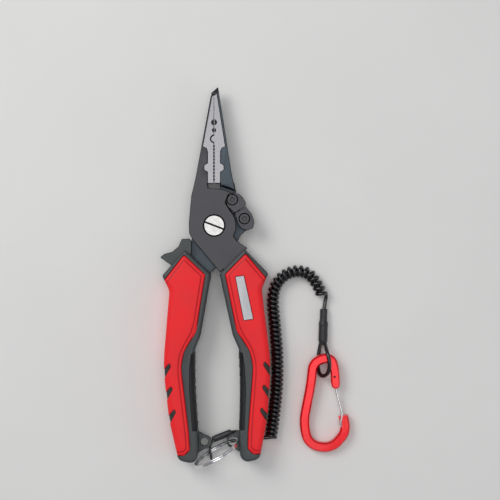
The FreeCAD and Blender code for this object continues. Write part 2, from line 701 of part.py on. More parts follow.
def carabiner_gate():
    """A bent wire loop on a short barrel that turns on the gate's pin."""
    gate = disc(GATE_PIN, 1.45, -1.3, 1.3)
    for side in (1, -1):
        gate = gate.fuse(tube(gate_strand(side), GATE_WIRE_R))
    gate = gate.fuse(Part.makeCylinder(GATE_WIRE_R, 3.7, V(GATE_HOOK_X, GATE_HOOK_Y, -1.85), Z_AXIS))
    for side in (1, -1):
        gate = gate.fuse(Part.makeSphere(GATE_WIRE_R, V(GATE_HOOK_X, GATE_HOOK_Y, side * 1.85)))
    return lean_on_cord(gate.cut(disc(GATE_PIN, 0.6 + TURNING_FIT, -5, 5)))


def gate_pin():
    half = CARABINER_THICK / 2 - 0.45
    return lean_on_cord(disc(GATE_PIN, 0.6, -half, half))


# ---- all nodes ----------------------------------------------------------------------------------
def all_nodes():
    nodes = {
        "front_jaw_arm": front_jaw_arm(),
        "rear_jaw_arm": rear_jaw_arm(),
        "front_jaw_insert": front_jaw_insert(),
        "rear_jaw_insert": rear_jaw_insert(),
        "pivot_screw": pivot_screw(),
        "pivot_nut": pivot_nut(),
        "return_spring": return_spring(),
        "cutter_block_upper": cutter_block_upper(),
        "cutter_block_lower": cutter_block_lower(),
        "cutter_screw_upper": cutter_screw(CUTTER_SCREWS["upper"], FRONT_PLATE_BACK + 0.1),
        "cutter_screw_lower": cutter_screw(CUTTER_SCREWS["lower"], HEAD_BACK + 0.6),
        "lock_lever": lock_lever(),
        "lock_pin": lock_pin(),
        "lock_spring": lock_spring(),
        "split_ring": split_ring(),
        "coil_cord": tube(COIL_ROUTE, COIL_R),
        "cord_tail_upper": tube(TAIL_UPPER_ROUTE, CORD_R),
        "cord_tail_lower": tube(TAIL_LOWER_ROUTE, CORD_R),
        "clip_loop": tube(CLIP_LOOP_ROUTE, CORD_R),
        "ring_loop": tube(RING_LOOP_ROUTE, THIN_CORD_R),
        "clip_sleeve": clip_sleeve(),
        "ring_sleeve": straight_round(RING_SLEEVE_LEFT, RING_SLEEVE_RIGHT, 1.7),
        "carabiner_body": carabiner_body(),
        "carabiner_gate": carabiner_gate(),
        "gate_pin": gate_pin(),
    }
    clip_crimp = ferrule(SLEEVE_STEP, SLEEVE_END, 1.7, 3.0)
    ring_crimp = ferrule(RING_SLEEVE_LEFT, RING_SLEEVE_RIGHT, 1.2, 4.4)
    nodes["clip_ferrule"] = clip_crimp
    nodes["ring_ferrule"] = ring_crimp
    nodes["clip_sleeve"] = nodes["clip_sleeve"].cut(clip_crimp)
    nodes["ring_sleeve"] = nodes["ring_sleeve"].cut(ring_crimp)
    nodes.update(right_handle(nodes["front_jaw_arm"]))
    nodes.update(left_handle(nodes["rear_jaw_arm"]))
    return nodes


def export(nodes):
    os.makedirs("parts", exist_ok=True)
    for name, shape in nodes.items():
        placed = shape.copy()
        placed.translate(ORIGIN_SHIFT)
        placed.exportStep(f"parts/{name}.step")
        solids = len(placed.Solids)
        sound = "sound" if placed.isValid() else "NOT VALID"
        print(f"{name}: {solids} solid(s), {placed.Volume / 1000:.3f} cm3, {sound}")


export(all_nodes())
print(f"cord radii: coil {COIL_R}, cord {CORD_R}, thin cord {THIN_CORD_R}")
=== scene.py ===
import json
import math
import bmesh
import bpy
import numpy as np
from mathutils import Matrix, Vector, noise

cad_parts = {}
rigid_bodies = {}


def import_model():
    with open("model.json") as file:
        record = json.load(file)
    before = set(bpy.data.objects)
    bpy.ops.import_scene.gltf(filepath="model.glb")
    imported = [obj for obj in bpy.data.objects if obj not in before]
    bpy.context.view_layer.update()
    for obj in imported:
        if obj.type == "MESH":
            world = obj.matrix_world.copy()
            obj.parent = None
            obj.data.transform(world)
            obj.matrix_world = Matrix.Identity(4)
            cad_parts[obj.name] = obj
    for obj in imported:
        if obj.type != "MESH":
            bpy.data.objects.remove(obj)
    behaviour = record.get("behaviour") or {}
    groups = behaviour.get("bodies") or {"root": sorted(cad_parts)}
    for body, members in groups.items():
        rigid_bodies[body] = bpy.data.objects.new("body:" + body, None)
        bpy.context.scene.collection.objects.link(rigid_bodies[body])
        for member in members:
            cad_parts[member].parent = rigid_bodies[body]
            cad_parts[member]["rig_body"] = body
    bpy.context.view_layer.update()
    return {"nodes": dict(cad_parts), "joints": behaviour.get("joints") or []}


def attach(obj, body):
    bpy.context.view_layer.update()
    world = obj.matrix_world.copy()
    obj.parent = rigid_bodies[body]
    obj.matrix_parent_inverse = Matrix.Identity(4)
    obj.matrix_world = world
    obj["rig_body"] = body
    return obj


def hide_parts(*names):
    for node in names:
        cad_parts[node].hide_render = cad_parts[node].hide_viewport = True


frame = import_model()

joints = {joint["name"]: joint for joint in frame["joints"]}


# ---- The view: the tool lies flat on a pale table ------------------------------------------------
# Looked at from straight above through a long lens, so the jaws, both grips, the coil and the
# clip are all seen at their true outline. The middle of the view lies right of the handles.
PIVOT = Vector(joints["jaw_pivot"]["pos_m"][:2] + [0.0])
VIEW_CENTRE = PIVOT + Vector((0.01814, -0.0124, 0.010))
VIEW_WIDTH = 0.254
LENS_MM = 100.0

camera_data = bpy.data.cameras.new("camera")
camera_data.lens = LENS_MM
camera_data.clip_start = 0.01
camera = bpy.data.objects.new("camera", camera_data)
bpy.context.scene.collection.objects.link(camera)
camera.location = VIEW_CENTRE + Vector((0, 0, VIEW_WIDTH * LENS_MM / camera_data.sensor_width))
bpy.context.scene.camera = camera


# ---- Black lanyard cord: one length from the ring's sleeve to the clip's sleeve ------------------
# A steel or nylon core in a glossy black polyurethane skin, 2 mm thick. Its middle is wound
# hot round a rod, which leaves about 46 close turns; its two ends run straight into the sleeves.
CORD = 0.0020
COIL_WIDTH = 0.0066
COIL_TURNS = 45.75
COIL_SPREAD = 0.08                      # the turns open up towards the bend
COIL_ROUTE = [
    (0.0289, -0.1086, 0.00335), (0.0319, -0.0885, 0.00335), (0.0325, -0.0685, 0.00335),
    (0.0309, -0.0505, 0.00335), (0.0293, -0.0350, 0.00335), (0.0336, -0.0262, 0.00335),
    (0.0424, -0.0224, 0.00335), (0.0510, -0.0256, 0.00335), (0.0550, -0.0354, 0.00335),
]
RING_END = [
    (0.0078, -0.1061, 0.0024), (0.0124, -0.1054, 0.0014), (0.0178, -0.1072, 0.00105),
    (0.0236, -0.1092, 0.00105),
]
CLIP_END = [(0.0573, -0.0367, 0.0017), (0.0567, -0.0392, 0.0018), (0.0560, -0.0434, 0.0024)]


def from_pivot(points):
    return [PIVOT + Vector(point) for point in points]


def nurbs_line(name, points, radius=0.0, steps=6):
    """A smooth line with those control points, and a round section if a radius is given."""
    curve = bpy.data.curves.new(name, "CURVE")
    curve.dimensions = "3D"
    curve.resolution_u = steps
    curve.bevel_depth = radius
    curve.bevel_resolution = 3
    curve.use_fill_caps = radius > 0
    spline = curve.splines.new("NURBS")
    spline.points.add(len(points) - 1)
    for control, place in zip(spline.points, points):
        control.co = (*place, 1.0)
    spline.order_u = 3
    spline.use_endpoint_u = True
    line = bpy.data.objects.new(name, curve)
    bpy.context.scene.collection.objects.link(line)
    return line


def read_line(points):
    """Points along the smooth line of a route."""
    line = nurbs_line("route", points, steps=24)
    bpy.context.view_layer.update()
    seen = line.evaluated_get(bpy.context.evaluated_depsgraph_get())
    mesh = bpy.data.meshes.new_from_object(seen)
    places = [vertex.co.copy() for vertex in mesh.vertices]
    bpy.data.objects.remove(line)
    bpy.data.meshes.remove(mesh)
    return places


def even_steps(places, count, spread=0.0):
    """Places and directions along a line, at equal distances or spreading out towards its end."""
    lengths = [0.0]
    for first, second in zip(places, places[1:]):
        lengths.append(lengths[-1] + (second - first).length)
    steps = []
    leg = 0
    for index in range(count + 1):
        part = index / count
        reach = lengths[-1] * (part + spread * part ** 4) / (1 + spread)
        while leg < len(places) - 2 and lengths[leg + 1] < reach:
            leg += 1
        run = places[leg + 1] - places[leg]
        share = (reach - lengths[leg]) / run.length
        steps.append((places[leg] + run * share, run.normalized()))
    return steps


def coil_turns(route, turns, width, cord, per_turn=16):
    """The helix round a level route, from its underside."""
    radius = (width - cord) / 2
    up = Vector((0, 0, 1))
    helix = []
    for index, (place, heading) in enumerate(even_steps(route, round(turns * per_turn), COIL_SPREAD)):
        angle = 2 * math.pi * index / per_turn - math.pi / 2
        across = heading.cross(up)
        helix.append(place + across * (radius * math.cos(angle)) + up * (radius * math.sin(angle)))
    return helix


coil = coil_turns(read_line(from_pivot(COIL_ROUTE)), COIL_TURNS, COIL_WIDTH, CORD)
lanyard_route = from_pivot(RING_END) + coil + from_pivot(CLIP_END)
lanyard = nurbs_line("lanyard_cord", lanyard_route, CORD / 2, steps=2)


# ---- Loops: a thin one holds the split ring, a full one the clip ---------------------------------
# Black cord is doubled back into each sleeve and crimped there: 1.2 mm for the ring, the lanyard's
# own 2 mm for the clip, where it passes over the clip's top end in front and under it behind.
THIN_CORD = 0.0012
CLIP_LOOP = [
    (0.0565, -0.0602, 0.0029), (0.0571, -0.0633, 0.0072), (0.0584, -0.0674, 0.0096),
    (0.0587, -0.0732, 0.0087), (0.0569, -0.0770, 0.0050), (0.0540, -0.0768, 0.0032),
    (0.0529, -0.0726, 0.0014), (0.0531, -0.0672, 0.0011), (0.0544, -0.0602, 0.0019),
]
RING_LOOP = [
    (0.0026, -0.1083, 0.0018), (-0.0002, -0.1096, 0.0017), (-0.0024, -0.1122, 0.0010),
    (-0.0022, -0.1159, 0.00066), (-0.0017, -0.1196, 0.00066), (-0.0017, -0.1196, 0.0045),
    (-0.0022, -0.1159, 0.0042), (-0.0024, -0.1122, 0.0038), (-0.0002, -0.1096, 0.00315),
    (0.0026, -0.1083, 0.00305),
]

clip_loop = nurbs_line("clip_loop_cord", from_pivot(CLIP_LOOP), CORD / 2)
ring_loop = nurbs_line("ring_loop_cord", from_pivot(RING_LOOP), THIN_CORD / 2)


# ---- Glossy black cord skin ----------------------------------------------------------------------
# Extruded polyurethane: deep black, shiny, with a faint grain and a little dulling by handling.
def new_material(name, colour, roughness, metallic=0.0, coat=0.0, specular=0.5):
    """A material with its constants set on the shader itself."""
    material = bpy.data.materials.new(name)
    material.use_nodes = True
    shader = material.node_tree.nodes["Principled BSDF"]
    shader.inputs["Base Color"].default_value = (*colour, 1)
    shader.inputs["Roughness"].default_value = roughness
    shader.inputs["Metallic"].default_value = metallic
    shader.inputs["Coat Weight"].default_value = coat
    shader.inputs["Specular IOR Level"].default_value = specular
    return material


def grain_group():
    """Fine grain and soft blotches in real millimetres, for every finish on the tool."""
    tree = bpy.data.node_groups.new("surface_grain", "ShaderNodeTree")
    sockets = tree.interface
    for name, value in (("Grain Size", 0.3), ("Blotch Size", 8.0), ("Stretch X", 1.0),
                        ("Stretch Y", 1.0)):
        sockets.new_socket(name, in_out="INPUT", socket_type="NodeSocketFloat").default_value = value
    for name in ("Grain", "Blotch"):
        sockets.new_socket(name, in_out="OUTPUT", socket_type="NodeSocketFloat")
    nodes = tree.nodes
    link = tree.links.new
    given = nodes.new("NodeGroupInput")
    out = nodes.new("NodeGroupOutput")
    place = nodes.new("ShaderNodeTexCoord")
    stretch = nodes.new("ShaderNodeCombineXYZ")
    stretch.inputs["Z"].default_value = 1.0
    link(given.outputs["Stretch X"], stretch.inputs["X"])
    link(given.outputs["Stretch Y"], stretch.inputs["Y"])
    stretched = nodes.new("ShaderNodeVectorMath")
    stretched.operation = "DIVIDE"
    link(place.outputs["Object"], stretched.inputs[0])
    link(stretch.outputs[0], stretched.inputs[1])
    for size, detail, output in (("Grain Size", 3.0, "Grain"), ("Blotch Size", 4.0, "Blotch")):
        scale = nodes.new("ShaderNodeMath")
        scale.operation = "DIVIDE"
        scale.inputs[0].default_value = 1000.0
        link(given.outputs[size], scale.inputs[1])
        texture = nodes.new("ShaderNodeTexNoise")
        texture.inputs["Detail"].default_value = detail
        link(stretched.outputs[0], texture.inputs["Vector"])
        link(scale.outputs[0], texture.inputs["Scale"])
        link(texture.outputs["Fac"], out.inputs[output])
    return tree


surface_grain = grain_group()


def add_grain(material, size, depth, blotch=8.0, tone=0.08, rough=0.08, stretch=(1.0, 1.0)):
    """Gives a finish its grain: a bump in metres, and changes of tone and roughness in patches."""
    tree = material.node_tree
    shader = tree.nodes["Principled BSDF"]
    grain = tree.nodes.new("ShaderNodeGroup")
    grain.node_tree = surface_grain
    grain.inputs["Grain Size"].default_value = size
    grain.inputs["Blotch Size"].default_value = blotch
    grain.inputs["Stretch X"].default_value = stretch[0]
    grain.inputs["Stretch Y"].default_value = stretch[1]
    bump = tree.nodes.new("ShaderNodeBump")
    bump.inputs["Strength"].default_value = 1.0
    bump.inputs["Distance"].default_value = depth
    tree.links.new(grain.outputs["Grain"], bump.inputs["Height"])
    tree.links.new(bump.outputs["Normal"], shader.inputs["Normal"])
    colour = list(shader.inputs["Base Color"].default_value)[:3]
    tones = tree.nodes.new("ShaderNodeValToRGB")
    tones.color_ramp.elements[0].position = 0.3
    tones.color_ramp.elements[1].position = 0.7
    tones.color_ramp.elements[0].color = (*[c * (1 - tone) for c in colour], 1)
    tones.color_ramp.elements[1].color = (*[min(1, c * (1 + tone)) for c in colour], 1)
    tones.name = "tones"
    tree.links.new(grain.outputs["Blotch"], tones.inputs["Fac"])
    tree.links.new(tones.outputs["Color"], shader.inputs["Base Color"])
    base_roughness = shader.inputs["Roughness"].default_value
    rub = tree.nodes.new("ShaderNodeMapRange")
    rub.inputs["From Min"].default_value = 0.3
    rub.inputs["From Max"].default_value = 0.7
    rub.inputs["To Min"].default_value = max(0.02, base_roughness - rough)
    rub.inputs["To Max"].default_value = min(1.0, base_roughness + rough)
    tree.links.new(grain.outputs["Blotch"], rub.inputs["Value"])
    tree.links.new(rub.outputs["Result"], shader.inputs["Roughness"])
    return material


cord_skin = new_material("cord_black", (0.005, 0.005, 0.007), 0.20, coat=0.5)
add_grain(cord_skin, size=0.12, depth=0.00002, blotch=5.0, tone=0.25, rough=0.08)

for cord_piece, node_names in ((lanyard, ("coil_cord", "cord_tail_upper", "cord_tail_lower")),
                               (clip_loop, ("clip_loop",)), (ring_loop, ("ring_loop",))):
    cord_piece.data.materials.append(cord_skin)
    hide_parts(*node_names)
    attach(cord_piece, "front_half")


# ---- Shrunk sleeves over the crimps --------------------------------------------------------------
# Black polyolefin tube shrunk with hot air over each crimped ferrule, so it steps down where the
# metal ends, draws in at its mouth, and keeps a few slight ripples.
def sleeve(name, start, end, rings, ripple=0.00006):
    """A shrunk tube from rings of (distance from the start, radius)."""
    start, end = from_pivot([start, end])
    along = (end - start).normalized()
    across = along.cross(Vector((0, 0, 1))).normalized()
    up = across.cross(along)
    shape = bmesh.new()
    sides = 28
    rows = []
    for distance, radius in rings:
        row = []
        for index in range(sides):
            angle = 2 * math.pi * index / sides
            outward = across * math.cos(angle) + up * math.sin(angle)
            wave = noise.noise(Vector((distance * 900, outward.x * 2, outward.z * 2))) * ripple
            row.append(shape.verts.new(start + along * distance + outward * (radius + wave)))
        rows.append(row)
    for first, second in zip(rows, rows[1:]):
        for index in range(sides):
            after = (index + 1) % sides
            shape.faces.new((first[index], first[after], second[after], second[index]))
    shape.faces.new(rows[0][::-1])
    shape.faces.new(rows[-1])
    bmesh.ops.recalc_face_normals(shape, faces=shape.faces)
    mesh = bpy.data.meshes.new(name)
    shape.to_mesh(mesh)
    shape.free()
    mesh.shade_smooth()
    mesh.set_sharp_from_angle(angle=math.radians(50))
    piece = bpy.data.objects.new(name, mesh)
    bpy.context.scene.collection.objects.link(piece)
    smooth = piece.modifiers.new("smooth", "SUBSURF")
    smooth.levels = smooth.render_levels = 1
    return piece


RING_STEP = 0.0006


def stepped_rings(steps):
    """Fills in a profile given as (distance, radius) corners with a ring about every 0.6 mm."""
    rings = []
    for (first, radius), (second, next_radius) in zip(steps, steps[1:]):
        count = max(1, round((second - first) / RING_STEP))
        for index in range(count):
            share = index / count
            rings.append((first + (second - first) * share, radius + (next_radius - radius) * share))
    return rings + [steps[-1]]


sleeve_skin = new_material("sleeve_black", (0.020, 0.020, 0.023), 0.42)
add_grain(sleeve_skin, size=0.25, depth=0.00005, blotch=3.0, tone=0.2, rough=0.1)

# Each sleeve's ends, and its profile as distances along it and radii.
CLIP_SLEEVE_ENDS = [(0.0560, -0.0426, 0.0024), (0.0555, -0.0612, 0.0024)]
CLIP_SLEEVE_STEPS = [
    (0.0, 0.0012), (0.0001, 0.0018), (0.0004, 0.00190), (0.0052, 0.00190), (0.0062, 0.00200),
    (0.0072, 0.00238), (0.0084, 0.00240), (0.0085, 0.00230), (0.0088, 0.00230), (0.0160, 0.00238),
    (0.0168, 0.00225), (0.0175, 0.00190), (0.0186, 0.0018), (0.01861, 0.0011),
]
RING_SLEEVE_ENDS = [(-0.0013, -0.1099, 0.0024), (0.0086, -0.1058, 0.0024)]
RING_SLEEVE_STEPS = [
    (0.0, 0.0008), (0.0001, 0.0014), (0.0008, 0.0015), (0.0018, 0.00168), (0.0082, 0.00168),
    (0.0096, 0.0016), (0.0107, 0.00145), (0.01071, 0.0010),
]
clip_sleeve = sleeve("clip_shrink_sleeve", *CLIP_SLEEVE_ENDS, stepped_rings(CLIP_SLEEVE_STEPS))
ring_sleeve = sleeve("ring_shrink_sleeve", *RING_SLEEVE_ENDS, stepped_rings(RING_SLEEVE_STEPS))
for piece, node_name in ((clip_sleeve, "clip_sleeve"), (ring_sleeve, "ring_sleeve")):
    piece.data.materials.append(sleeve_skin)
    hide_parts(node_name)
    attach(piece, "front_half")


# ---- Machined parts: the carbon steel head -------------------------------------------------------
# Both halves are pressed steel plates with every edge broken, coated matt dark grey. Shade is
# painted near-black on those broken edges, for the dark outlines along them.
WELD = 2e-6                             # corners closer than this are one
SHARP = math.radians(32)                # an edge that turns more than this is a real one


def worked_copy(node_name, chamfer=0.0, segments=2, dissolve=1.0):
    """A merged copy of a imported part, with its sharp edges broken, which stands for it."""
    source = frame["nodes"][node_name]
    mesh = source.data.copy()
    mesh.name = node_name + "_worked"
    shape = bmesh.new()
    shape.from_mesh(mesh)
    bmesh.ops.remove_doubles(shape, verts=shape.verts, dist=WELD)
    if chamfer and dissolve:
        bmesh.ops.dissolve_limit(shape, angle_limit=math.radians(dissolve),
                                 verts=shape.verts, edges=shape.edges)
    shape.to_mesh(mesh)
    shape.free()
    mesh.shade_smooth()
    mesh.set_sharp_from_angle(angle=SHARP)
    piece = bpy.data.objects.new(node_name + "_worked", mesh)
    bpy.context.scene.collection.objects.link(piece)
    if chamfer:
        bevel = piece.modifiers.new("broken_edges", "BEVEL")
        bevel.width = chamfer
        bevel.segments = segments
        bevel.limit_method = "ANGLE"
        bevel.angle_limit = SHARP
        bevel.use_clamp_overlap = False
        bevel.harden_normals = True
    return piece


def finish_piece(piece, node_name, material, edge=None):
    """Gives a piece its finish, and its broken edges a second material if asked, here the painted edge
    shade.
    """
    piece.data.materials.clear()
    piece.data.materials.append(material)
    if edge:
        piece.data.materials.append(edge)
        piece.modifiers["broken_edges"].material = 1
    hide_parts(node_name)
    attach(piece, frame["nodes"][node_name]["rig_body"])


head_coat = new_material("head_steel", (0.075, 0.072, 0.079), 0.48, metallic=0.55)
add_grain(head_coat, size=0.22, depth=0.00006, blotch=9.0, tone=0.10, rough=0.07)
rear_coat = new_material("rear_steel", (0.060, 0.077, 0.092), 0.45, metallic=0.55)
add_grain(rear_coat, size=0.22, depth=0.00006, blotch=9.0, tone=0.10, rough=0.07)

# Painted shade: near-black for broken edges and recesses that show as dark outlines and holes.
painted_edge_shade = new_material("painted_edge_shade", (0.008, 0.008, 0.010), 0.55, metallic=0.3)
add_grain(painted_edge_shade, size=0.2, depth=0.00003, blotch=5.0, tone=0.3, rough=0.06)


def painted_tip_shade(material, start, full, dark):
    """Paints shade on the coating beyond a distance along the tool, turning the tip black as if facing
    away from the light.
    """
    tree = material.node_tree
    place = tree.nodes.new("ShaderNodeTexCoord")
    split = tree.nodes.new("ShaderNodeSeparateXYZ")
    tree.links.new(place.outputs["Object"], split.inputs[0])
    beyond = tree.nodes.new("ShaderNodeMapRange")
    beyond.inputs["From Min"].default_value = start
    beyond.inputs["From Max"].default_value = full
    tree.links.new(split.outputs["Y"], beyond.inputs["Value"])
    mix = tree.nodes.new("ShaderNodeMix")
    mix.data_type = "RGBA"
    mix.inputs["B"].default_value = (*dark, 1)
    tree.links.new(beyond.outputs["Result"], mix.inputs["Factor"])
    tree.links.new(tree.nodes["tones"].outputs["Color"], mix.inputs["A"])
    tree.links.new(mix.outputs["Result"], tree.nodes["Principled BSDF"].inputs["Base Color"])


ARM_CHAMFER = 0.00032
TIP_START = PIVOT.y + 0.0672
TIP_FADE = 0.0005
# Painted shade: the rear jaw's tip tooth turns black beyond TIP_START.
painted_tip_shade(rear_coat, TIP_START, TIP_START + TIP_FADE, (0.010, 0.010, 0.012))
# The arms' broken edges take the painted edge shade.
for node_name, coat, slot in (("front_jaw_arm", head_coat, "head_steel"),
                              ("rear_jaw_arm", rear_coat, "rear_steel")):
    finish_piece(worked_copy(node_name, ARM_CHAMFER), node_name, coat, painted_edge_shade)


# ---- Jaw inserts ---------------------------------------------------------------------------------
# Hardened stainless blocks, let into the jaws and ground on their faces, with fine cross grain.
insert_steel = new_material("insert_steel", (0.31, 0.305, 0.32), 0.36, metallic=0.9)
add_grain(insert_steel, size=0.16, depth=0.00002, blotch=2.5, tone=0.12, rough=0.08, stretch=(2.5, 1.0))
INSERT_CHAMFER = 0.00008
for node_name in ("front_jaw_insert", "rear_jaw_insert"):
    insert = worked_copy(node_name, INSERT_CHAMFER, segments=1)
    finish_piece(insert, node_name, insert_steel)


# ---- Pivot screw, nut and springs ----------------------------------------------------------------
# A turned, bright screw with a narrow slot, its floor painted black as shade, holds the halves
# together; its nut sits at the back.
bright_steel = new_material("bright_steel", (0.50, 0.49, 0.48), 0.34, metallic=1.0)
add_grain(bright_steel, size=0.35, depth=0.00003, blotch=2.0, tone=0.10, rough=0.10)
spring_wire = new_material("spring_steel", (0.38, 0.38, 0.39), 0.30, metallic=1.0)
add_grain(spring_wire, size=0.2, depth=0.00003, blotch=2.0, tone=0.1, rough=0.08)
TURNED_CHAMFER = 0.0001
SLOT_FLOOR = (0.0110, 0.0120)           # heights between which a face belongs to the screw's slot
for node_name in ("pivot_screw", "pivot_nut"):
    worked = worked_copy(node_name, TURNED_CHAMFER)
    finish_piece(worked, node_name, bright_steel, painted_edge_shade)
    # The faces in the slot take the painted edge shade as well.
    for face in worked.data.polygons:
        if SLOT_FLOOR[0] < face.center.z < SLOT_FLOOR[1]:
            face.material_index = 1
for node_name in ("lock_pin", "right_tang_rivets", "left_tang_rivets"):
    finish_piece(worked_copy(node_name, TURNED_CHAMFER), node_name, bright_steel)
# The gate pin is painted black as shade, for the dark recessed hole it sits in.
finish_piece(worked_copy("gate_pin", TURNED_CHAMFER), "gate_pin", painted_edge_shade)
for node_name in ("return_spring", "lock_spring"):
    finish_piece(worked_copy(node_name), node_name, spring_wire)


# ---- Side cutters and their screws ---------------------------------------------------------------
# Two blackened, hardened blocks, each held by one hexagon-socket screw in a counterbore.
cutter_black = new_material("cutter_steel", (0.070, 0.066, 0.076), 0.42, metallic=0.6)
add_grain(cutter_black, size=0.2, depth=0.00005, blotch=4.0, tone=0.12, rough=0.08)
screw_black = new_material("screw_steel", (0.055, 0.053, 0.058), 0.35, metallic=0.7)
add_grain(screw_black, size=0.15, depth=0.00003, blotch=2.0, tone=0.15, rough=0.08)
BLOCK_CHAMFER = 0.00025
CUTTER_SCREW_CHAMFER = 0.00012
# The blocks' and screws' broken edges take the painted edge shade.
for node_name in ("cutter_block_upper", "cutter_block_lower"):
    block = worked_copy(node_name, BLOCK_CHAMFER, segments=1, dissolve=0)
    block.data.shade_flat()
    block.modifiers["broken_edges"].harden_normals = False
    finish_piece(block, node_name, cutter_black, painted_edge_shade)
for node_name in ("cutter_screw_upper", "cutter_screw_lower"):
    screw = worked_copy(node_name, CUTTER_SCREW_CHAMFER)
    finish_piece(screw, node_name, screw_black, painted_edge_shade)


# ---- Hard handle cores and the lock lever --------------------------------------------------------
# Glass-filled nylon moulded round the steel tangs: dark greenish grey with a fine spark-eroded grain.
core_plastic = new_material("core_plastic", (0.055, 0.061, 0.064), 0.48)
add_grain(core_plastic, size=0.30, depth=0.00009, blotch=7.0, tone=0.10, rough=0.07)
MOULDED_CHAMFERS = {"right_handle_core": 0.0002, "left_handle_core": 0.0002, "lock_lever": 0.0003}
# Their broken edges take the painted edge shade, the dark lines along the rims.
for node_name, chamfer in MOULDED_CHAMFERS.items():
    moulded = worked_copy(node_name, chamfer)
    finish_piece(moulded, node_name, core_plastic, painted_edge_shade)


# ---- Soft red jackets ----------------------------------------------------------------------------
# Thermoplastic rubber moulded over each core in a second shot. The face is crowned, falls away in a
# narrow border along the rim, and rolls over the outer edge of the handle.
# Shade is painted in a darker red line along the foot of the border.
HANDLE_TILT = math.radians(1.2)
GRIP_TOP = 0.015
SKIN_GRID = 0.00032
BORDER = 0.0017                         # the sunk border's width, its depth and its sloping step
BORDER_DEPTH = 0.00035
BORDER_SLOPE = 0.0004
ROLL_WIDTH = 0.0008                     # the edge rolls down over this width, by this much
ROLL_DEPTH = 0.0007
CROWN_WIDTH = 0.008                     # the face is crowned this far in, by this much
CROWN_DEPTH = 0.0003
CREASE_WIDTH = 0.00028
BORDER_LINE = [
    (0.0258, -0.0271, 0.0), (0.0156, -0.0144, 0.0012), (0.0050, -0.0248, 0.0018),
    (0.0102, -0.0534, 0.006), (0.0166, -0.0636, 0.005), (0.0182, -0.0715, 0.006),
    (0.0149, -0.1050, 0.010), (0.0146, -0.1132, 0.002), (0.0175, -0.1160, 0.0025),
    (0.0300, -0.1155, 0.0),
]


def on_handle(side, x, y):
    """A point drawn on the right handle, set at the handles' own angle, or mirrored for the left."""
    x = x if side == "right" else -x
    cosine, sine = math.cos(HANDLE_TILT), math.sin(HANDLE_TILT)
    return PIVOT + Vector((x * cosine - y * sine, x * sine + y * cosine, 0))


def rounded_line(points, steps=8):
    """A line of (x, y, reach) corners, each rounded off over its reach."""
    line = []
    for index, (x, y, reach) in enumerate(points):
        corner = Vector((x, y))
        if not reach:
            line.append(corner)
            continue
        before = Vector(points[index - 1][:2]) - corner
        after = Vector(points[index + 1][:2]) - corner
        first = corner + before.normalized() * min(reach, before.length * 0.45)
        last = corner + after.normalized() * min(reach, after.length * 0.45)
        for step in range(steps + 1):
            share = step / steps
            line.append(first.lerp(corner, share).lerp(corner.lerp(last, share), share))
    return line


def distance_to_line(places, line):
    """Each place's distance in plan to a line of corners."""
    flat = places[:, :2]
    nearest = np.full(len(flat), 1e9)
    for first, second in zip(line, line[1:]):
        start, run = np.array(first), np.array(second) - np.array(first)
        share = np.clip((flat - start) @ run / (run @ run), 0, 1)
        nearest = np.minimum(nearest, np.linalg.norm(flat - start - share[:, None] * run, axis=1))
    return nearest


def remeshed_copy(node_name, piece_name, voxel):
    """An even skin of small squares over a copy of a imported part."""
    source = frame["nodes"][node_name]
    mesh = source.data.copy()
    shape = bmesh.new()
    shape.from_mesh(mesh)
    bmesh.ops.remove_doubles(shape, verts=shape.verts, dist=WELD)
    shape.to_mesh(mesh)
    shape.free()
    piece = bpy.data.objects.new(piece_name, mesh)
    bpy.context.scene.collection.objects.link(piece)
    remesh = piece.modifiers.new("remesh", "REMESH")
    remesh.mode = "VOXEL"
    remesh.voxel_size = voxel
    bpy.context.view_layer.update()
    seen = piece.evaluated_get(bpy.context.evaluated_depsgraph_get())
    skin = bpy.data.meshes.new_from_object(seen)
    piece.modifiers.clear()
    piece.data = skin
    skin.name = piece_name
    skin.shade_smooth()
    return piece


def mesh_places(mesh):
    places = np.zeros(len(mesh.vertices) * 3)
    mesh.vertices.foreach_get("co", places)
    return places.reshape(-1, 3)


def soft_jacket(side):
    """The red skin of one handle, crowned, with its sunk border."""
    piece = remeshed_copy(f"{side}_grip_jacket", f"{side}_red_jacket", SKIN_GRID)
    places = mesh_places(piece.data)
    line = [on_handle(side, *corner).xy for corner in rounded_line(BORDER_LINE)]
    inward = distance_to_line(places, line)
    step = np.clip((inward - BORDER) / BORDER_SLOPE, 0, 1)
    edge = np.clip(1 - inward / ROLL_WIDTH, 0, 1)
    crown = np.clip((CROWN_WIDTH - inward) / (CROWN_WIDTH - BORDER), 0, 1)
    drop = BORDER_DEPTH * (1 - step) + ROLL_DEPTH * edge ** 2 + CROWN_DEPTH * crown ** 2
    places[:, 2] = np.clip(places[:, 2], drop, GRIP_TOP - drop)
    piece.data.vertices.foreach_set("co", places.ravel())
    # The crease attribute masks the painted shade line at the border's foot.
    crease = piece.data.attributes.new("crease", "FLOAT", "POINT")
    from_foot = (inward - BORDER - BORDER_SLOPE / 4) / CREASE_WIDTH
    crease.data.foreach_set("value", np.exp(-from_foot ** 2).astype(np.float32))
    relax = piece.modifiers.new("relax", "SMOOTH")
    relax.factor = 0.5
    relax.iterations = 2
    return piece


def painted_crease_shade(material, dark):
    """Paints shade along the foot of the border: a darker red line for the shadow in the crease."""
    tree = material.node_tree
    shader = tree.nodes["Principled BSDF"]
    crease = tree.nodes.new("ShaderNodeAttribute")
    crease.attribute_name = "crease"
    mix = tree.nodes.new("ShaderNodeMix")
    mix.data_type = "RGBA"
    mix.inputs["B"].default_value = (*dark, 1)
    tree.links.new(crease.outputs["Fac"], mix.inputs["Factor"])
    tree.links.new(tree.nodes["tones"].outputs["Color"], mix.inputs["A"])
    tree.links.new(mix.outputs["Result"], shader.inputs["Base Color"])


